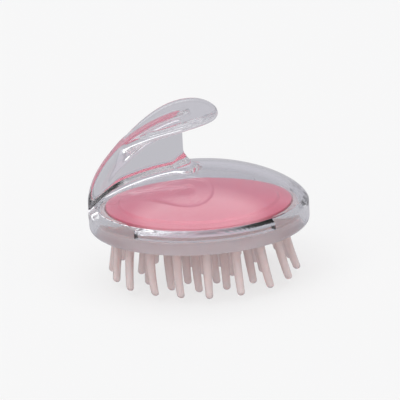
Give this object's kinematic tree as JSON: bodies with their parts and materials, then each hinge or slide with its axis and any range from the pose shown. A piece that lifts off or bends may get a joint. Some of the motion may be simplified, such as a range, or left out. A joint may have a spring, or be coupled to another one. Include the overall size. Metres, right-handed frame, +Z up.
{
  "type": "scalp massager brush",
  "caption": "Handheld scalp massager: clear domed shell with a hook-shaped paddle handle, coloured plate inside, and a soft pad of flaring round-tipped tines.",
  "frame": {"origin": "on the floor under the middle of the round body, at the height of the lowest tine tip", "axes": "+Z up; +X the way the handle's free end points, from its root on the rim towards the middle of the dome; +Y across the handle"},
  "size_m": [0.085, 0.085, 0.0671],
  "materials": {
    "clear_plastic": "polished clear polystyrene",
    "pink_plastic": "opaque satin moulded plastic",
    "soft_pad": "translucent matt soft-touch rubber"
  },
  "bodies": {
    "root": {"clear_shell": "clear_plastic", "colour_plate": "pink_plastic", "bristle_pad": "soft_pad"}
  },
  "joints": []
}
